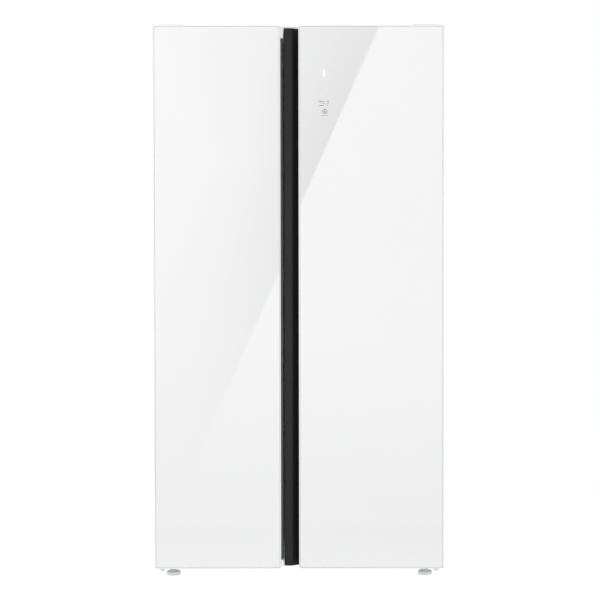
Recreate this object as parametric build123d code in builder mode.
from build123d import *
import os

# Side by side refrigerator, in millimetres. The origin is on the floor under the middle of the
# cabinet: +X is to the right of someone facing the doors, +Y runs to the back, +Z is up.
# The freezer is behind the narrow left door, the refrigerator behind the wide right one.
# The doors have no handles: a dark finger channel runs down between them, and the fingers hook
# behind the free edge of either glass front.

os.makedirs("parts", exist_ok=True)

# ---------------------------------------------------------------- driving dimensions
WIDTH, DEPTH, HEIGHT = 911.0, 706.0, 1775.0
FRONT, BACK = -DEPTH / 2, DEPTH / 2

# doors
GLASS_BOTTOM, GLASS_TOP = 39.0, 1745.0  # lower and upper edge of both glass fronts
OVERHANG = 6.0  # the glass front stands this far past the door body, top and bottom
BODY_BOTTOM, BODY_TOP = GLASS_BOTTOM + OVERHANG, GLASS_TOP - OVERHANG
DOOR_EDGE = WIDTH / 2  # outer edge of both doors
GLASS_THICK, RIM, TRAY_PLATE = 4.0, 3.5, 2.5
TRAY_BACK = FRONT + GLASS_THICK + TRAY_PLATE
FLANGE_BACK = FRONT + 60.0  # back of the door body, where the gasket sits
GASKET_WIDE, GASKET_GAP = 18.0, 0.3
SKIN = 1.5  # painted steel and vacuum formed plastic skins
GRIP_SKIN = 2.5
CAP_THICK = 4.0
PLUG_LOW, PLUG_HIGH = 20.5, 32.5  # blocks of the freezer door's caps that close the ends of its channel
RIDGE_BACK = FLANGE_BACK + 60.0  # the raised ring that carries the door bins
BIN_BACK = FLANGE_BACK + 115.0
RIDGE_LOW, RIDGE_HIGH, RIDGE_WIDE = 126.0, 1676.0, 28.0

# cabinet
CAB_FRONT, CAB_BACK = FRONT + 72.0, BACK - 8.0
CAB_BOTTOM, CAB_TOP, CAB_EDGE = 37.0, 1752.0, 453.0
SHEET = 1.0
FOAM_FRONT = CAB_FRONT + SHEET
FOAM_EDGE, FOAM_BACK, FOAM_TOP = CAB_EDGE - SHEET, CAB_BACK - SHEET, CAB_TOP - SHEET
FOAM_BOTTOM = CAB_BOTTOM + SKIN
CAVITY_FLOOR, CAVITY_TOP, CAVITY_BACK = 110.0, 1692.0, 285.0
STEP_FRONT, STEP_TOP = 100.0, 325.0  # the cavities step up over the machine room
MACHINE_FRONT, MACHINE_TOP = 154.0, 268.0
FREEZER_X, FRIDGE_X = (-395.0, -74.0), (-24.0, 410.0)

# hinges, on one vertical axis at each outer edge
HINGE_X, HINGE_Y = DOOR_EDGE - 22.0, FRONT + 32.0
PIN_R, RUNNING = 4.0, 0.05
ARM = 4.0  # thickness of the hinge plates
EYE_R = 13.0  # rounded end of a hinge plate, round the pin
ARM_SPAN = (8.0, 38.0)  # the top arms lie this far inside their pins

# shelves, drawers and their places
SHELF_FRONT = -160.0
SHELF_TOPS = [516.0 + 294.0 * n for n in range(4)]
PANE, LEDGE = 4.0, 10.0
LOWER_DRAWER_Z, UPPER_DRAWER_Z = (118.0, 312.0), (334.0, 494.0)
FREEZER_DUCT_FRONT, FRIDGE_DUCT_FRONT = 205.0, 262.0
BIN_FLOORS = [166.0 + 300.0 * n for n in range(5)]
BIN_HIGH, BIN_WALL = 115.0, 2.5

# feet and rollers
FOOT_X, FOOT_Y, FOOT_R, STEM_R = 405.0, -250.0, 22.5, 6.0
STEM_TOP, STEM_HOLE_TOP = 60.0, 64.0
ROLLER_Y, ROLLER_R, ROLLER_WIDE, AXLE_R = 300.0, 16.0, 18.0, 3.0


# ---------------------------------------------------------------- helpers
def block(x, y, z, mode=Mode.ADD):
    """A box in the active part; x, y and z are (low, high) pairs."""
    with Locations((middle(x), middle(y), middle(z))):
        Box(x[1] - x[0], y[1] - y[0], z[1] - z[0], mode=mode)


def grown(span, by):
    """A (low, high) pair widened by the same amount at both ends."""
    return span[0] - by, span[1] + by


def middle(span):
    return (span[0] + span[1]) / 2


def between(a, b):
    """A (low, high) pair from two values in either order."""
    return min(a, b), max(a, b)


def save(builder, name):
    """Labels one finished piece and writes it."""
    builder.part.label = name
    export_step(builder.part, f"parts/{name}.step")


def save_group(pieces, name):
    """Writes several separate solids as one node."""
    group = Compound(children=[piece.part for piece in pieces])
    group.label = name
    export_step(group, f"parts/{name}.step")


# ---------------------------------------------------------------- cabinet
def cavity(x, grow, mode=Mode.ADD):
    """The inside of one compartment with its step over the machine room, grown on every closed side."""
    profile = [
        (FOAM_FRONT, CAVITY_FLOOR - grow),
        (STEP_FRONT + grow, CAVITY_FLOOR - grow),
        (STEP_FRONT + grow, STEP_TOP - grow),
        (CAVITY_BACK + grow, STEP_TOP - grow),
        (CAVITY_BACK + grow, CAVITY_TOP + grow),
        (FOAM_FRONT, CAVITY_TOP + grow),
    ]
    with BuildSketch(Plane.YZ.offset(x[0] - grow)) as section:
        with BuildLine():
            Polyline(*profile, close=True)
        make_face()
    extrude(section.sketch, amount=x[1] - x[0] + 2 * grow, mode=mode)


def side_panel(name, side, cavity_edge):
    """Painted steel side with the front flange that the gasket's magnet closes on."""
    outer, inner = side * CAB_EDGE, side * FOAM_EDGE
    with BuildPart() as panel:
        block(between(inner, outer), (CAB_FRONT, CAB_BACK), (CAB_BOTTOM, FOAM_TOP))
        block(between(cavity_edge, outer), (CAB_FRONT, FOAM_FRONT), (CAB_BOTTOM, FOAM_TOP))
    save(panel, name)


def top_panel():
    with BuildPart() as panel:
        block((-CAB_EDGE, CAB_EDGE), (CAB_FRONT, CAB_BACK), (FOAM_TOP, CAB_TOP))
        block((FREEZER_X[0], FRIDGE_X[1]), (CAB_FRONT, FOAM_FRONT), (CAVITY_TOP, FOAM_TOP))
    save(panel, "top_panel")


def base_panel():
    """Steel underside: a floor, the riser in front of the machine room and its ceiling."""
    floor = (CAB_BOTTOM, FOAM_BOTTOM)
    with BuildPart() as panel:
        block((-FOAM_EDGE, FOAM_EDGE), (FOAM_FRONT, MACHINE_FRONT), floor)
        block((FREEZER_X[0], FRIDGE_X[1]), (CAB_FRONT, FOAM_FRONT), (CAB_BOTTOM, CAVITY_FLOOR))
        riser = (MACHINE_FRONT - SKIN, MACHINE_FRONT)
        block((-FOAM_EDGE, FOAM_EDGE), riser, (CAB_BOTTOM, MACHINE_TOP + SKIN))
        ceiling = (MACHINE_TOP, MACHINE_TOP + SKIN)
        block((-FOAM_EDGE, FOAM_EDGE), (MACHINE_FRONT - SKIN, FOAM_BACK), ceiling)
        with Locations((-FOOT_X, FOOT_Y, CAB_BOTTOM), (FOOT_X, FOOT_Y, CAB_BOTTOM)):
            Cylinder(STEM_R + 2, 4 * SKIN, mode=Mode.SUBTRACT)
    save(panel, "base_panel")


def back_panel():
    with BuildPart() as panel:
        block((-FOAM_EDGE, FOAM_EDGE), (FOAM_BACK, CAB_BACK), (MACHINE_TOP, FOAM_TOP))
    save(panel, "back_panel")


def cabinet_foam():
    """Polyurethane foam that fills the space between the steel skin and the two liners."""
    with BuildPart() as foam:
        block((-FOAM_EDGE, FOAM_EDGE), (FOAM_FRONT, FOAM_BACK), (FOAM_BOTTOM, FOAM_TOP))
        under = (FOAM_BOTTOM, MACHINE_TOP + SKIN)
        block((-FOAM_EDGE, FOAM_EDGE), (MACHINE_FRONT - SKIN, FOAM_BACK), under, Mode.SUBTRACT)
        for x in (FREEZER_X, FRIDGE_X):
            cavity(x, SKIN, Mode.SUBTRACT)
        with Locations((-FOOT_X, FOOT_Y, FOAM_BOTTOM), (FOOT_X, FOOT_Y, FOAM_BOTTOM)):
            Cylinder(STEM_R + 2, 2 * (STEM_HOLE_TOP - FOAM_BOTTOM), mode=Mode.SUBTRACT)
    save(foam, "cabinet_foam")


def centre_mullion():
    """Steel strip on the front of the partition between the compartments."""
    with BuildPart() as strip:
        block((FREEZER_X[1], FRIDGE_X[0]), (CAB_FRONT, FOAM_FRONT), (CAVITY_FLOOR, CAVITY_TOP))
    save(strip, "centre_mullion")


def liner(name, x, ledge_back, drawer_x):
    """Vacuum formed inner liner with shelf ledges and drawer rails on both walls."""
    corner_r, rail = 4.5, 10.0
    with BuildPart() as inside:
        cavity(x, 0)
        fillet(inside.edges().filter_by(Axis.Y), corner_r)
    with BuildPart() as shell:
        cavity(x, SKIN)
        add(inside.part, mode=Mode.SUBTRACT)
        for wall, inward, drawer_edge in ((x[0], 1, drawer_x[0]), (x[1], -1, drawer_x[1])):
            for top in SHELF_TOPS:
                under = top - PANE
                block(
                    between(wall, wall + inward * LEDGE),
                    (SHELF_FRONT + 10, ledge_back),
                    (under - LEDGE, under),
                )
            for drawer_z, back in (LOWER_DRAWER_Z, 60.0), (UPPER_DRAWER_Z, 170.0):
                rail_top = drawer_z[1] - 4.5
                block(
                    between(wall, drawer_edge + inward * 7),
                    (SHELF_FRONT + 10, back),
                    (rail_top - rail, rail_top),
                )
    save(shell, name)


def shelf(name, x, back, top):
    """Tempered glass pane in a plastic front trim, lying on the liner's ledges."""
    pane_z = (top - PANE, top)
    with BuildPart() as pane:
        block(grown(x, -2), (SHELF_FRONT + 4, back), pane_z)
    with BuildPart() as trim:
        block(grown(x, -14), (SHELF_FRONT, SHELF_FRONT + 14), (top - 16, top + 3))
        block(grown(x, -2), (SHELF_FRONT + 4, SHELF_FRONT + 14), pane_z, Mode.SUBTRACT)
        fillet(trim.edges().filter_by(Axis.X).group_by(Axis.Y)[0], 2)
    save_group([pane, trim], name)


def duct_cover(name, x, z, front, slot_rows):
    """Air duct moulding on the back wall, a shallow tray with rows of outlet slots."""
    wall, slot_high, slots = 2.5, 8.0, 6
    pitch = (x[1] - x[0] - 50) / slots
    with BuildPart() as cover:
        block(x, (front, CAVITY_BACK), z)
        fillet(cover.edges().group_by(Axis.Y)[0], 4)
        block(grown(x, -wall), (front + wall, CAVITY_BACK), grown(z, -wall), Mode.SUBTRACT)
        for row in slot_rows:
            with Locations((middle(x), front, row)):
                with GridLocations(pitch, 1, slots, 1):
                    Box(pitch - 12, 4 * wall, slot_high, mode=Mode.SUBTRACT)
    save(cover, name)


def ceiling_lamps():
    """Light diffusers on the ceiling of each compartment."""
    lamps = []
    for x in (FREEZER_X, FRIDGE_X):
        with BuildPart() as lamp:
            block(grown((middle(x), middle(x)), 80), (-150.0, -90.0), (CAVITY_TOP - 10, CAVITY_TOP))
            fillet(lamp.edges().group_by(Axis.Z)[0], 5)
        lamps.append(lamp)
    save_group(lamps, "ceiling_lamps")


# ---------------------------------------------------------------- cold air and machine room
EVAPORATOR_X, EVAPORATOR_Z = (-376.0, -92.0), (360.0, 650.0)
EVAPORATOR_Y = (CAVITY_BACK - 48.0, CAVITY_BACK)
FAN_DEEP, MOTOR_THICK, SHAFT_R = 20.0, 4.0, 2.0
EVAP_FAN = (middle(FREEZER_X), FREEZER_DUCT_FRONT + 2.5 + FAN_DEEP / 2, 770.0)
COND_FAN_SIZE = 150.0


def evaporator():
    """Finned tube evaporator behind the freezer duct, with the defrost heater under it."""
    tube_r, rows, fins = 4.0, 6, 15
    row_pitch = (EVAPORATOR_Z[1] - EVAPORATOR_Z[0]) / rows
    columns = 26.0
    with BuildPart() as coil:
        for n in range(fins):
            x = EVAPORATOR_X[0] + 20 + n * (EVAPORATOR_X[1] - EVAPORATOR_X[0] - 40) / (fins - 1)
            block((x - 0.4, x + 0.4), EVAPORATOR_Y, EVAPORATOR_Z)
        centre = (middle(EVAPORATOR_X), middle(EVAPORATOR_Y), middle(EVAPORATOR_Z))
        with Locations(Plane(origin=centre, x_dir=(0, 1, 0), z_dir=(1, 0, 0))):
            with GridLocations(columns, row_pitch, 2, rows):
                Cylinder(tube_r, EVAPORATOR_X[1] - EVAPORATOR_X[0])
        for x in EVAPORATOR_X:
            for n in range(rows):
                z = EVAPORATOR_Z[0] + (n + 0.5) * row_pitch
                block(grown((x, x), 3), grown((centre[1], centre[1]), columns / 2), grown((z, z), 3))
    with BuildPart(Plane(origin=(centre[0], centre[1], EVAPORATOR_Z[0] - 14), z_dir=(1, 0, 0))) as heater:
        Cylinder(5, EVAPORATOR_X[1] - EVAPORATOR_X[0])
    save_group([coil, heater], "evaporator")


def fan_frame(name, plane, size):
    """Square fan frame with a motor held on three struts and its shaft."""
    bore_r, motor_r, strut, deep = size / 2 - 6, 17.0, 6.0, FAN_DEEP
    with BuildPart(plane) as frame:
        Box(size, size, deep)
        Cylinder(bore_r, 2 * deep, mode=Mode.SUBTRACT)
        with Locations((0, 0, MOTOR_THICK / 2 - deep / 2)):
            Cylinder(motor_r, MOTOR_THICK)
            with PolarLocations((motor_r + bore_r) / 2, 3):
                Box(bore_r - motor_r + 6, strut, MOTOR_THICK)
            Cylinder(SHAFT_R, deep * 0.7, align=(Align.CENTER, Align.CENTER, Align.MIN))
    save(frame, name)


def fan_blade(name, plane, radius):
    """Hub with seven pitched blades, running on the motor's shaft."""
    hub_r, blades, pitch, hub_high = 15.0, 7, 32.0, 9.0
    blade_long = radius - hub_r + 4
    with BuildPart(plane) as wheel:
        Cylinder(hub_r, hub_high)
        with PolarLocations(hub_r - 4 + blade_long / 2, blades):
            Box(blade_long, 18, 1.6, rotation=(pitch, 0, 0))
        Cylinder(SHAFT_R + RUNNING, 2 * hub_high, mode=Mode.SUBTRACT)
    save(wheel, name)


COMPRESSOR = (255.0, 250.0)
COMPRESSOR_R, COMPRESSOR_HIGH = 74.0, 150.0
DECK_TOP, DECK_THICK = CAB_BOTTOM + 2.0, 2.0
GROMMET_HIGH, PUMP_PLATE = 12.0, 3.0
FOOT_SPREAD = (70.0, 58.0)


def compressor_deck():
    """Steel deck across the machine room, with the brackets and axles of the rear rollers."""
    ear_x = ROLLER_WIDE / 2 + 1.0
    with BuildPart() as deck:
        block((-FOAM_EDGE, FOAM_EDGE), (MACHINE_FRONT, CAB_BACK - 3), (CAB_BOTTOM, DECK_TOP))
        lip = (CAB_BACK - 3 - DECK_THICK, CAB_BACK - 3)
        block((-FOAM_EDGE, FOAM_EDGE), lip, (CAB_BOTTOM, DECK_TOP + 12))
        for side in (-1, 1):
            for ear in (-1, 1):
                x = side * FOOT_X + ear * (ear_x + 1)
                block((x - 1, x + 1), grown((ROLLER_Y, ROLLER_Y), 9), (ROLLER_R - 7, CAB_BOTTOM))
            with Locations(Plane(origin=(side * FOOT_X, ROLLER_Y, ROLLER_R), z_dir=(1, 0, 0))):
                Cylinder(AXLE_R, 2 * ear_x + 6)
    save(deck, "compressor_deck")


def roller(name, side):
    with BuildPart(Plane(origin=(side * FOOT_X, ROLLER_Y, ROLLER_R), z_dir=(1, 0, 0))) as wheel:
        Cylinder(ROLLER_R, ROLLER_WIDE)
        fillet(wheel.edges(), 2)
        Cylinder(AXLE_R + RUNNING, 2 * ROLLER_WIDE, mode=Mode.SUBTRACT)
    save(wheel, name)


def compressor():
    """Hermetic compressor on its foot plate and four rubber grommets, with its terminal box."""
    x, y = COMPRESSOR
    plate_z = DECK_TOP + GROMMET_HIGH
    shell_r, shell_high = COMPRESSOR_R, COMPRESSOR_HIGH
    with BuildPart() as terminal_box:
        block((x - shell_r - 22, x - shell_r + 12), grown((y, y), 28), (plate_z + 40, plate_z + 105))
        fillet(terminal_box.edges(), 4)
    with BuildPart() as pump:
        with BuildSketch(Plane.XY.offset(plate_z)):
            with Locations((x, y)):
                RectangleRounded(2 * FOOT_SPREAD[0] + 26, 2 * FOOT_SPREAD[1] + 34, 12)
        extrude(amount=PUMP_PLATE)
        with Locations((x, y, plate_z + PUMP_PLATE)):
            Cylinder(shell_r, shell_high, align=(Align.CENTER, Align.CENTER, Align.MIN))
        fillet(pump.edges().group_by(Axis.Z)[-1], 46)
        add(terminal_box.part)
    grommets = []
    for dx in (-FOOT_SPREAD[0], FOOT_SPREAD[0]):
        for dy in (-FOOT_SPREAD[1], FOOT_SPREAD[1]):
            with BuildPart() as grommet:
                with Locations((x + dx, y + dy, DECK_TOP)):
                    Cylinder(9, GROMMET_HIGH, align=(Align.CENTER, Align.CENTER, Align.MIN))
                fillet(grommet.edges(), 2)
            grommets.append(grommet)
    save_group([pump, *grommets], "compressor")


TUBE_ROWS, TUBE_PITCH, CONDENSER_TUBE_R = 5, 26.0, 2.5
CONDENSER_X, CONDENSER_Y, CONDENSER_Z = (-330.0, 30.0), (190.0, 320.0), (80.0, 210.0)


def condenser():
    """Fan cooled condenser: a bank of tubes between two end plates that stand on the deck."""
    centre = (middle(CONDENSER_X), middle(CONDENSER_Y), middle(CONDENSER_Z))
    with BuildPart() as bank:
        for x in CONDENSER_X:
            block(grown((x, x), 0.75), grown(CONDENSER_Y, 5), (DECK_TOP, CONDENSER_Z[1] + 5))
        with Locations(Plane(origin=centre, x_dir=(0, 1, 0), z_dir=(1, 0, 0))):
            with GridLocations(TUBE_PITCH, TUBE_PITCH, TUBE_ROWS, TUBE_ROWS):
                Cylinder(CONDENSER_TUBE_R, CONDENSER_X[1] - CONDENSER_X[0] + 6)
        for n in range(7):
            x = CONDENSER_X[0] + (n + 1) * (CONDENSER_X[1] - CONDENSER_X[0]) / 8
            block(grown((x, x), 0.5), CONDENSER_Y, CONDENSER_Z)
    save(bank, "condenser")


def drip_tray():
    """Tray that catches the defrost water and dries it in the condenser's air."""
    x, y, z = grown(CONDENSER_X, -8), (CONDENSER_Y[0] - 10, CONDENSER_Y[1] + 10), (DECK_TOP, DECK_TOP + 26)
    with BuildPart() as tray:
        block(x, y, z)
        fillet(tray.edges().filter_by(Axis.Z), 8)
        block(grown(x, -2), grown(y, -2), (z[0] + 2, z[1]), Mode.SUBTRACT)
    save(tray, "drip_tray")


def refrigerant_pipes():
    """Discharge pipe to the condenser and suction pipe up to the evaporator."""
    x, y = COMPRESSOR
    pipe_r, bend = 3.0, 8.0
    shell_back = y + COMPRESSOR_R
    dome = DECK_TOP + GROMMET_HIGH + PUMP_PLATE + COMPRESSOR_HIGH
    tube_y, tube_z = CONDENSER_Y[1] - TUBE_PITCH / 2, CONDENSER_Z[1] - TUBE_PITCH / 2
    low, high, behind = 90.0, 226.0, shell_back + 14
    over, riser = dome + 30, (x - 60, y + 40)  # the suction pipe's level run and where it rises
    beside, entry = x - 130, CONDENSER_X[1] + 24  # where the discharge pipe climbs and turns down
    suction = [
        (x + 20, y, dome),
        (x + 20, y, over),
        (*riser, over),
        (*riser, MACHINE_TOP),
    ]
    discharge = [
        (x, shell_back, low),
        (x, behind, low),
        (beside, behind, low),
        (beside, behind, high),
        (entry, tube_y, high),
        (entry, tube_y, tube_z),
        (CONDENSER_X[1] + 3, tube_y, tube_z),
    ]
    pipes = []
    for points in (suction, discharge):
        with BuildPart() as pipe:
            with BuildLine() as path:
                FilletPolyline(*points, radius=bend)
            with BuildSketch(Plane(origin=path.line @ 0, z_dir=path.line % 0)):
                Circle(pipe_r)
            sweep()
        pipes.append(pipe)
    save_group(pipes, "refrigerant_pipes")


def machine_cover():
    """Vented cover over the machine room, with the grommet of the mains inlet."""
    x, z, wall = grown((0, 0), FOAM_EDGE - 4), (CAB_BOTTOM + 4, MACHINE_TOP - 2), 1.5
    vent_wide, vent_high, vent_pitch, vent_rows = 170.0, 7.0, 16.0, 10
    grommet_r, grommet_deep, inlet_r = 12.0, 8.0, 5.0
    with BuildPart() as cover:
        block(x, (CAB_BACK - 2, BACK), z)
        fillet(cover.edges().group_by(Axis.Y)[-1], 4)
        block(grown(x, -wall), (CAB_BACK - 2, BACK - wall), grown(z, -wall), Mode.SUBTRACT)
        for bank in (-290.0, -60.0, 230.0):
            with Locations(Plane(origin=(bank, BACK, middle(z)), x_dir=(1, 0, 0), z_dir=(0, 1, 0))):
                with GridLocations(1, vent_pitch, 1, vent_rows):
                    Box(vent_wide, vent_high, 4 * wall, mode=Mode.SUBTRACT)
        with Locations(Plane(origin=(375.0, BACK - wall, 90.0), z_dir=(0, -1, 0))):
            Cylinder(grommet_r, grommet_deep, align=(Align.CENTER, Align.CENTER, Align.MIN))
            Cylinder(inlet_r, 4 * grommet_deep, mode=Mode.SUBTRACT)
    save(cover, "machine_cover")


def control_box():
    """Main board under its cover, on the upper part of the back."""
    x, z, wall = (-150.0, 150.0), (1430.0, 1630.0), 1.5
    with BuildPart() as lid:
        block(x, (CAB_BACK, BACK), z)
        fillet(lid.edges().group_by(Axis.Y)[-1], 3)
        block(grown(x, -wall), (CAB_BACK, BACK - wall), grown(z, -wall), Mode.SUBTRACT)
    with BuildPart() as board:
        block(grown(x, -14), (CAB_BACK, CAB_BACK + 1.6), grown(z, -14))
        with Locations((-60, CAB_BACK + 3.4, middle(z)), (50, CAB_BACK + 3.4, middle(z) + 20)):
            Box(50, 3.6, 60)
    save_group([lid, board], "control_box")


# ---------------------------------------------------------------- hinges and feet
def top_hinges():
    """Cranked arms screwed to the cabinet top, each with the pin that the door turns on."""
    pin_long, roof_long, screw_r, screw_high = 20.0, 100.0, 6.0, 3.0
    arm_z = (BODY_TOP + 2, BODY_TOP + 2 + ARM)
    roof_z = (CAB_TOP, CAB_TOP + ARM)
    riser_y = (CAB_FRONT - 8, CAB_FRONT - 4)
    arms = []
    for side in (-1, 1):
        x = side * HINGE_X
        inner = between(x - side * ARM_SPAN[1], x - side * ARM_SPAN[0])
        with BuildPart() as arm:
            with Locations((x, HINGE_Y, middle(arm_z))):
                Cylinder(EYE_R, ARM)
            block(between(x - side * ARM_SPAN[1], x), grown((HINGE_Y, HINGE_Y), EYE_R), arm_z)
            block(inner, (HINGE_Y - EYE_R, riser_y[1]), arm_z)
            block(inner, riser_y, (arm_z[0], roof_z[1]))
            block(inner, (riser_y[0], CAB_FRONT + roof_long), roof_z)
            with Locations((x, HINGE_Y, arm_z[0] - pin_long)):
                Cylinder(PIN_R, pin_long, align=(Align.CENTER, Align.CENTER, Align.MIN))
        screws = []
        for y in (CAB_FRONT + 20, CAB_FRONT + 50, CAB_FRONT + 80):
            with BuildPart() as screw:
                with Locations((middle(inner), y, roof_z[1])):
                    Cylinder(screw_r, screw_high, align=(Align.CENTER, Align.CENTER, Align.MIN))
                fillet(screw.edges().group_by(Axis.Z)[-1], 1.2)
            screws.append(screw)
        arms += [arm, *screws]
    save_group(arms, "top_hinges")


def cover_wedge(x, inset, mode=Mode.ADD):
    """Low at the front, where the door swings past, and at the full height further back."""
    front, back = CAB_FRONT + 1 + inset, CAB_FRONT + 170 - inset
    outline = [
        (front, CAB_TOP),
        (front, CAB_TOP + 8 - inset),
        (front + 110, HEIGHT - inset),
        (back - 12, HEIGHT - inset),
        (back, CAB_TOP),
    ]
    with BuildSketch(Plane.YZ.offset(x[0] + inset)) as section:
        with BuildLine():
            Polyline(*outline, close=True)
        make_face()
    extrude(section.sketch, amount=x[1] - x[0] - 2 * inset, mode=mode)


def hinge_covers():
    """Plastic covers over the hinge arms on the cabinet top."""
    wall, slot_gap = 2.0, 0.5
    covers = []
    for side in (-1, 1):
        x = between(side * (HINGE_X + 14), side * (HINGE_X - 62))
        with BuildPart() as cover:
            cover_wedge(x, 0)
            fillet(cover.edges().filter_by(Axis.X).group_by(Axis.Z)[-1], 6)
            cover_wedge(x, wall, Mode.SUBTRACT)
            arm_x = grown(between(side * (HINGE_X - ARM_SPAN[1]), side * (HINGE_X - ARM_SPAN[0])), slot_gap)
            arm_z = (CAB_TOP, CAB_TOP + ARM + slot_gap)
            block(arm_x, (CAB_FRONT, CAB_FRONT + 2 * wall), arm_z, Mode.SUBTRACT)
        covers.append(cover)
    save_group(covers, "hinge_covers")


def bottom_hinges():
    """Steel brackets under the cabinet, each with a door pin and the thread of the front foot."""
    plate_x, plate_y = (380.0, 450.0), (-309.0, -217.0)
    plate_z = (CAB_BOTTOM - ARM, CAB_BOTTOM)
    thread_gap = 0.1
    rivet_r, rivet_high, pin_high = 6.5, 6.0, 27.0
    brackets = []
    for side in (-1, 1):
        with BuildPart() as bracket:
            with Locations((side * HINGE_X, HINGE_Y, middle(plate_z))):
                Cylinder(EYE_R, ARM)
            block(grown((side * HINGE_X, side * HINGE_X), EYE_R), (HINGE_Y, plate_y[0] + 1), plate_z)
            block(between(side * plate_x[0], side * plate_x[1]), plate_y, plate_z)
            with Locations((side * FOOT_X, FOOT_Y, middle(plate_z))):
                Cylinder(STEM_R + thread_gap, 2 * ARM, mode=Mode.SUBTRACT)
            with Locations((side * HINGE_X, HINGE_Y, plate_z[0] - rivet_high)):
                Cylinder(rivet_r, rivet_high, align=(Align.CENTER, Align.CENTER, Align.MIN))
            with Locations((side * HINGE_X, HINGE_Y, plate_z[1])):
                Cylinder(PIN_R, pin_high, align=(Align.CENTER, Align.CENTER, Align.MIN))
        brackets.append(bracket)
    save_group(brackets, "bottom_hinges")


def foot(name, side):
    """Levelling foot: a ribbed disc on a threaded stem."""
    disc_high, neck_high = 12.0, 8.0
    with BuildPart() as leveller:
        with Locations((side * FOOT_X, FOOT_Y, 0)):
            Cylinder(FOOT_R, disc_high, align=(Align.CENTER, Align.CENTER, Align.MIN))
        fillet(leveller.edges().group_by(Axis.Z)[0], 1.5)
        chamfer(leveller.edges().group_by(Axis.Z)[-1], 2)
        with Locations((side * FOOT_X, FOOT_Y, disc_high)):
            Cone(14, 10, neck_high, align=(Align.CENTER, Align.CENTER, Align.MIN))
            Cylinder(STEM_R, STEM_TOP - disc_high, align=(Align.CENTER, Align.CENTER, Align.MIN))
    save(leveller, name)


# ---------------------------------------------------------------- drawers
def drawer(name, x, back, z):
    """Open drawer tub hanging by two side rims on the liner's rails, with a finger notch in front."""
    wall, front_wall, corner, rim = 2.5, 8.0, 12.0, 4.0
    body_x = grown(x, -9)
    tub_y = (SHELF_FRONT + front_wall - wall, back)
    size = (body_x[1] - body_x[0], tub_y[1] - tub_y[0])
    with BuildPart() as tub:
        with BuildSketch(Plane.XY.offset(z[0])):
            with Locations((middle(body_x), middle(tub_y))):
                RectangleRounded(*size, corner)
        extrude(amount=z[1] - z[0])
        block(x, (SHELF_FRONT + 10, back), (z[1] - rim, z[1]))
        block(x, (SHELF_FRONT, SHELF_FRONT + front_wall), z)
        fillet(tub.edges().group_by(Axis.Y)[0], 3)
        with BuildSketch(Plane.XY.offset(z[0] + wall)):
            with Locations((middle(body_x), middle(tub_y))):
                RectangleRounded(size[0] - 2 * wall, size[1] - 2 * wall, corner - wall)
        extrude(amount=z[1] - z[0], mode=Mode.SUBTRACT)
        with BuildSketch(Plane.XZ.offset(-SHELF_FRONT + 1)):
            with Locations((middle(x), z[1])):
                SlotOverall(120, 44)
        extrude(amount=-front_wall - 3, mode=Mode.SUBTRACT)
    save(tub, name)


# ---------------------------------------------------------------- doors
class Door:
    """The dimensions that differ between the two doors; side is +1 for the right-hand door."""

    def __init__(self, name, side, glass_edge, body_edge, channel, ring_x, bins_x, grip_full):
        self.name, self.side = name, side
        self.glass_edge, self.body_edge = glass_edge, body_edge
        self.channel = channel  # corners and radii of the finger channel, from the gasket side
        self.ring_x, self.bins_x = ring_x, bins_x
        self.grip_full = grip_full  # the grip moulding runs over the end caps
        self.outer = side * DOOR_EDGE
        self.skin = side * (DOOR_EDGE - SKIN)
        self.pin_x = side * HINGE_X


FOAM_Y = (TRAY_BACK, FLANGE_BACK - SKIN)
POCKET_BOTTOM = FRONT + 32.5  # how deep the finger pocket goes behind the glass

fridge_door = Door(
    "fridge_door",
    1,
    glass_edge=0.0,
    body_edge=-46.5,
    channel=(
        [(-46.5, FRONT + 19.5), (-22.0, FRONT + 19.5), (-4.0, POCKET_BOTTOM), (16.0, POCKET_BOTTOM)],
        [3.0, 16.0, 14.0, 6.0],
    ),
    ring_x=(4.0, 404.0),
    bins_x=(34.0, 374.0),
    grip_full=True,
)
freezer_door = Door(
    "freezer_door",
    -1,
    glass_edge=-56.8,
    body_edge=-49.5,
    channel=(
        [(-49.5, FRONT + 26.0), (-60.0, FRONT + 26.0), (-66.0, POCKET_BOTTOM), (-77.0, POCKET_BOTTOM)],
        [3.0, 3.0, 3.0, 6.0],
    ),
    ring_x=(-391.0, -92.0),
    bins_x=(-362.0, -121.0),
    grip_full=False,
)


def channel_air(door, grow=0.0):
    """Plan of the open finger channel; grow adds the thickness of the grip that lines it."""
    corners, radii = door.channel
    start, end = (door.body_edge, FOAM_Y[1]), (corners[-1][0], FOAM_Y[0])
    far = door.body_edge - door.side * 14
    with BuildSketch() as air:
        with BuildLine():
            FilletPolyline(start, *corners, end, radius=radii)
            Polyline(end, (far, end[1]), (far, start[1]), start)
        make_face()
        if grow:
            offset(amount=grow, kind=Kind.INTERSECTION)
    return air.sketch


def body_plan(door, x_edge):
    """Plan of the door body's thickness between its channel side and x_edge."""
    span = between(door.body_edge, x_edge)
    with BuildSketch() as plan:
        with Locations((middle(span), middle(FOAM_Y))):
            Rectangle(span[1] - span[0], FOAM_Y[1] - FOAM_Y[0])
        add(channel_air(door), mode=Mode.SUBTRACT)
    return plan.sketch


def grip_plan(door):
    """Plan of the dark grip moulding that lines the channel."""
    pocket_end = door.channel[0][-1][0]
    with BuildSketch() as plan:
        add(body_plan(door, pocket_end + door.side * 6))
        add(channel_air(door, GRIP_SKIN), mode=Mode.INTERSECT)
    return plan.sketch


def plug_plan(door):
    """Plan of the block that closes the channel's end: the grip's outline and the space inside it."""
    x = between(door.body_edge, door.channel[0][-1][0] + door.side * 6)
    with BuildSketch() as plan:
        with Locations((middle(x), middle(FOAM_Y))):
            Rectangle(x[1] - x[0], FOAM_Y[1] - FOAM_Y[0])
        add(channel_air(door, GRIP_SKIN), mode=Mode.INTERSECT)
    return plan.sketch


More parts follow.
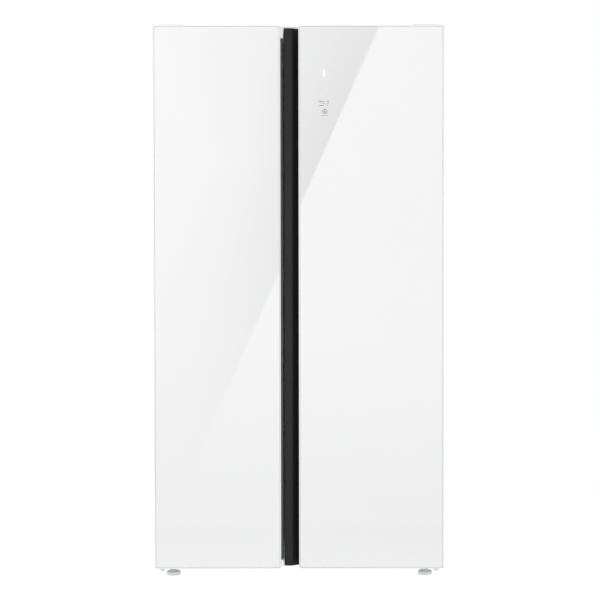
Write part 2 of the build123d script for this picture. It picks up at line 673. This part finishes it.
def door_glass(door):
    seam = 0.3
    inset = door.side * (RIM + seam)
    x = between(door.glass_edge + inset, door.outer - inset)
    z = (GLASS_BOTTOM + RIM + seam, GLASS_TOP - RIM - seam)
    with BuildPart() as glass:
        block(x, (FRONT, FRONT + GLASS_THICK), z)
        fillet(glass.edges().filter_by(Axis.Y), 2)
        chamfer(glass.edges().group_by(Axis.Y)[0], 0.8)
    save(glass, f"{door.name}_glass")


DISPLAY_X, DISPLAY_Z = (50.0, 110.0), (1450.0, 1630.0)
DISPLAY_DEEP, WINDOW = 12.0, 8.0


def door_frame(door):
    """Rim and backing plate that carry the glass, with the painted outer side of the door."""
    x, z = between(door.glass_edge, door.outer), (GLASS_BOTTOM, GLASS_TOP)
    with BuildPart() as frame:
        block(x, (FRONT, TRAY_BACK), z)
        fillet(frame.edges().filter_by(Axis.Y), 4)
        chamfer(frame.edges().group_by(Axis.Y)[0], 0.6)
        block(grown(x, -RIM), (FRONT, FRONT + GLASS_THICK), grown(z, -RIM), Mode.SUBTRACT)
        block(between(door.skin, door.outer), (TRAY_BACK, FLANGE_BACK), (BODY_BOTTOM, BODY_TOP))
        if door is fridge_door:
            window = grown(DISPLAY_X, -WINDOW), grown(DISPLAY_Z, -WINDOW)
            block(window[0], (FRONT, TRAY_BACK), window[1], Mode.SUBTRACT)
    save(frame, f"{door.name}_frame")


BOSS_R, BOSS_LONG = 9.0, 22.0  # bushes of the hinge pins


def door_caps(door):
    """Moulded end caps with the bushes that the hinge pins turn in; some also close the channel's ends."""
    caps = []
    for end, inward, plug_deep in ((BODY_BOTTOM, 1, PLUG_LOW), (BODY_TOP, -1, PLUG_HIGH)):
        with BuildPart() as cap:
            with BuildSketch(Plane.XY.offset(end)):
                add(body_plan(door, door.skin))
                if door.grip_full:
                    add(grip_plan(door), mode=Mode.SUBTRACT)
            extrude(amount=inward * CAP_THICK)
            if not door.grip_full:
                with BuildSketch(Plane.XY.offset(end)):
                    add(plug_plan(door))
                extrude(amount=inward * plug_deep)
            with Locations((door.pin_x, HINGE_Y, end + inward * BOSS_LONG / 2)):
                Cylinder(BOSS_R, BOSS_LONG)
                Cylinder(PIN_R + RUNNING, BOSS_LONG, mode=Mode.SUBTRACT)
        caps.append(cap)
    save_group(caps, f"{door.name}_caps")


def door_grip(door):
    z = (BODY_BOTTOM, BODY_TOP) if door.grip_full else (BODY_BOTTOM + PLUG_LOW, BODY_TOP - PLUG_HIGH)
    with BuildPart() as grip:
        with BuildSketch(Plane.XY.offset(z[0])):
            add(grip_plan(door))
        extrude(amount=z[1] - z[0])
    save(grip, f"{door.name}_grip")


def ridge_ring(door, inset, back, mode=Mode.ADD):
    """The raised ring on the back of the door, between the flange and back, inset on every side."""
    front, wide = FLANGE_BACK - SKIN, RIDGE_WIDE - 2 * inset
    outer_x, outer_z = grown(door.ring_x, -inset), (RIDGE_LOW + inset, RIDGE_HIGH - inset)
    for low_x in (outer_x[0], outer_x[1] - wide):
        block((low_x, low_x + wide), (front, back), outer_z, mode)
    for low_z in (outer_z[0], outer_z[1] - wide):
        block(outer_x, (front, back), (low_z, low_z + wide), mode)


def door_liner(door):
    """Vacuum formed inner face: flange, raised ring and the rests that the bins stand on."""
    with BuildPart() as shell:
        ridge_ring(door, 0, RIDGE_BACK)
        fillet(shell.edges().group_by(Axis.Y)[-1], 4)
        block(between(door.body_edge, door.skin), (FLANGE_BACK - SKIN, FLANGE_BACK), (BODY_BOTTOM, BODY_TOP))
        ridge_ring(door, SKIN, RIDGE_BACK - SKIN, Mode.SUBTRACT)
        inner = grown(door.ring_x, -RIDGE_WIDE)
        for floor in BIN_FLOORS:
            for x in ((inner[0] - 1, inner[0] + 11), (inner[1] - 11, inner[1] + 1)):
                block(x, (FLANGE_BACK, RIDGE_BACK - 12), (floor - 10, floor))
    save(shell, f"{door.name}_liner")


def door_foam(door):
    """Foam core between the front, the caps and the inner face."""
    z = (BODY_BOTTOM + CAP_THICK, BODY_TOP - CAP_THICK)
    with BuildPart() as foam:
        with BuildSketch(Plane.XY.offset(z[0])):
            add(body_plan(door, door.skin))
            add(grip_plan(door), mode=Mode.SUBTRACT)
        extrude(amount=z[1] - z[0])
        ridge_ring(door, SKIN, RIDGE_BACK - SKIN)
        with Locations((door.pin_x, HINGE_Y, BODY_BOTTOM), (door.pin_x, HINGE_Y, BODY_TOP)):
            Cylinder(BOSS_R, 2 * BOSS_LONG, mode=Mode.SUBTRACT)
        if door is fridge_door:
            block(DISPLAY_X, (TRAY_BACK, TRAY_BACK + DISPLAY_DEEP), DISPLAY_Z, Mode.SUBTRACT)
    save(foam, f"{door.name}_foam")


def door_gasket(door):
    """Magnetic gasket, a closed ring with a bellows groove round its outside."""
    channel_edge = -45.0 if door is fridge_door else -53.0
    x = between(channel_edge, door.side * (HINGE_X - 2.5))
    z, y = (84.0, 1718.0), (FLANGE_BACK, CAB_FRONT - GASKET_GAP)
    groove = (y[0] + 4, y[1] - 4)
    with BuildPart() as bellows:
        block(grown(x, 2), groove, grown(z, 2))
        block(grown(x, -3), groove, grown(z, -3), Mode.SUBTRACT)
    with BuildPart() as ring:
        block(x, y, z)
        fillet(ring.edges().filter_by(Axis.Y), 6)
        block(grown(x, -GASKET_WIDE), y, grown(z, -GASKET_WIDE), Mode.SUBTRACT)
        add(bellows.part, mode=Mode.SUBTRACT)
    save(ring, f"{door.name}_gasket")


def door_bins(door):
    """Five open bins between the ridges of the door, each with a lower front."""
    x, y = door.bins_x, (FLANGE_BACK + 0.3, BIN_BACK)
    slope = 28.0
    bins = []
    for floor in BIN_FLOORS:
        with BuildPart() as tub:
            for inset, mode in ((0, Mode.ADD), (BIN_WALL, Mode.SUBTRACT)):
                with BuildSketch(Plane.XY.offset(floor + inset)) as plan:
                    with Locations((middle(x), middle(y))):
                        Rectangle(x[1] - x[0] - 2 * inset, y[1] - y[0] - 2 * inset)
                    fillet(plan.vertices().group_by(Axis.Y)[-1], 18 - inset)
                extrude(amount=BIN_HIGH, mode=mode)
            with BuildSketch(Plane.YZ.offset(x[0] - 1)):
                with BuildLine():
                    top = floor + BIN_HIGH
                    Polyline((y[0] + 15, top), (y[1] - 12, top - slope), (y[1] + 1, top - slope), (y[1] + 1, top + 1),
                             (y[0] + 15, top + 1), close=True)
                make_face()
            extrude(amount=x[1] - x[0] + 2, mode=Mode.SUBTRACT)
        bins.append(tub)
    save_group(bins, f"{door.name}_bins")


def touch_display():
    """Touch panel and lamp board behind the glass of the wide door."""
    with BuildPart() as module:
        block(DISPLAY_X, (TRAY_BACK, TRAY_BACK + DISPLAY_DEEP), DISPLAY_Z)
        face = (FRONT + GLASS_THICK, TRAY_BACK)
        block(grown(DISPLAY_X, -WINDOW), face, grown(DISPLAY_Z, -WINDOW))
    save(module, "touch_display")


# ---------------------------------------------------------------- build everything
FREEZER_DRAWER_X = (FREEZER_X[0] + 7.5, FREEZER_X[1] - 9.0)
FRIDGE_DRAWER_X = (FRIDGE_X[0] + 9.0, FRIDGE_X[1] - 18.5)
FREEZER_BACK, FRIDGE_BACK = FREEZER_DUCT_FRONT - 2, FRIDGE_DUCT_FRONT - 2

side_panel("side_panel_left", -1, FREEZER_X[0])
side_panel("side_panel_right", 1, FRIDGE_X[1])
top_panel()
base_panel()
back_panel()
cabinet_foam()
centre_mullion()
liner("freezer_liner", FREEZER_X, 190.0, FREEZER_DRAWER_X)
liner("fridge_liner", FRIDGE_X, 240.0, FRIDGE_DRAWER_X)
for number, top in enumerate(SHELF_TOPS, start=1):
    shelf(f"freezer_shelf_{number}", FREEZER_X, FREEZER_BACK, top)
    shelf(f"fridge_shelf_{number}", FRIDGE_X, FRIDGE_BACK, top)
vents = [top + 40 for top in SHELF_TOPS]
duct_cover("freezer_duct_cover", grown(FREEZER_X, -1), (332.0, 1660.0), FREEZER_DUCT_FRONT, vents)
duct_cover("fridge_duct_cover", (53.0, 333.0), (560.0, 1660.0), FRIDGE_DUCT_FRONT, vents)
ceiling_lamps()
evaporator()
evap_plane = Plane(origin=EVAP_FAN, z_dir=(0, -1, 0))
fan_frame("evaporator_fan_frame", evap_plane, 124.0)
fan_blade("evaporator_fan_blade", evap_plane, 52.0)
cond_plane = Plane(origin=(75.0, 250.0, DECK_TOP + COND_FAN_SIZE / 2), z_dir=(1, 0, 0))
fan_frame("condenser_fan_frame", cond_plane, COND_FAN_SIZE)
fan_blade("condenser_fan_blade", cond_plane, 64.0)
compressor_deck()
compressor()
condenser()
drip_tray()
refrigerant_pipes()
machine_cover()
control_box()
top_hinges()
hinge_covers()
bottom_hinges()
for side_name, side in (("left", -1), ("right", 1)):
    foot(f"foot_{side_name}", side)
    roller(f"roller_{side_name}", side)
drawer("freezer_drawer_lower", FREEZER_DRAWER_X, 88.0, LOWER_DRAWER_Z)
drawer("freezer_drawer_upper", FREEZER_DRAWER_X, FREEZER_BACK - 5, UPPER_DRAWER_Z)
drawer("crisper_lower", FRIDGE_DRAWER_X, 88.0, LOWER_DRAWER_Z)
drawer("crisper_upper", FRIDGE_DRAWER_X, FRIDGE_BACK - 20, UPPER_DRAWER_Z)
for door in (freezer_door, fridge_door):
    door_glass(door)
    door_frame(door)
    door_caps(door)
    door_grip(door)
    door_liner(door)
    door_foam(door)
    door_gasket(door)
    door_bins(door)
touch_display()
